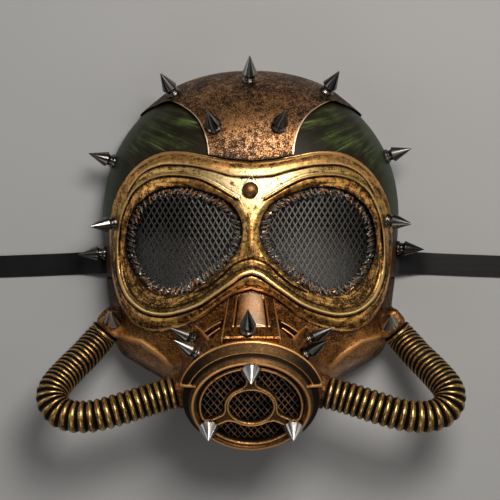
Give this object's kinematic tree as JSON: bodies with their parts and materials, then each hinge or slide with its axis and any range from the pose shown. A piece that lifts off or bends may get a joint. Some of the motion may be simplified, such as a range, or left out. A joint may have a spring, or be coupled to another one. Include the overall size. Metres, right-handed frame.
{
  "type": "steampunk gas mask",
  "caption": "Full-face costume mask shaped like a gas mask: domed crown, wrap-round goggles with metal net, filter muzzle, ribbed hoses, screw-on spikes and tie ribbons.",
  "frame": {"origin": "centre of the overall box, on the plane of the rim that the mask lies on", "axes": "+Z out of the face, +Y towards the crown, +X towards the viewer's right as the face is seen"},
  "size_m": [0.336, 0.24, 0.1198],
  "materials": {
    "green_paint": "green and black hand-brushed paint, satin",
    "copper_paint": "aged copper paint on a moulded shell",
    "gold_paint": "antique gold paint with a dark wash",
    "bronze_paint": "dark bronze paint with worn copper edges",
    "nickel": "polished nickel plate",
    "wire_net": "dark expanded metal",
    "hose_brass": "brass paint on black corrugated tube",
    "black_satin": "woven satin"
  },
  "bodies": {
    "root": {"crown_shell": "green_paint", "face_shell": "copper_paint", "forehead_plate": "copper_paint", "goggle_frame": "gold_paint", "bridge_rivet": "bronze_paint", "eye_mesh_left": "wire_net", "eye_mesh_right": "wire_net", "filter_housing": "bronze_paint", "filter_grille": "bronze_paint", "filter_mesh": "wire_net", "hose_left": "hose_brass", "hose_right": "hose_brass", "ribbon_left": "black_satin", "ribbon_right": "black_satin", "spike_crown_top": "nickel", "spike_muzzle_top": "nickel", "spike_filter_top": "nickel", "spike_filter_left": "nickel", "spike_filter_right": "nickel", "spike_crown_left": "nickel", "spike_crown_right": "nickel", "spike_forehead_left": "nickel", "spike_forehead_right": "nickel", "spike_temple_left": "nickel", "spike_temple_right": "nickel", "spike_goggle_left": "nickel", "spike_goggle_right": "nickel", "spike_ear_left": "nickel", "spike_ear_right": "nickel", "spike_port_left": "nickel", "spike_port_right": "nickel", "spike_cheek_upper_left": "nickel", "spike_cheek_upper_right": "nickel", "spike_cheek_lower_left": "nickel", "spike_cheek_lower_right": "nickel"}
  },
  "joints": []
}
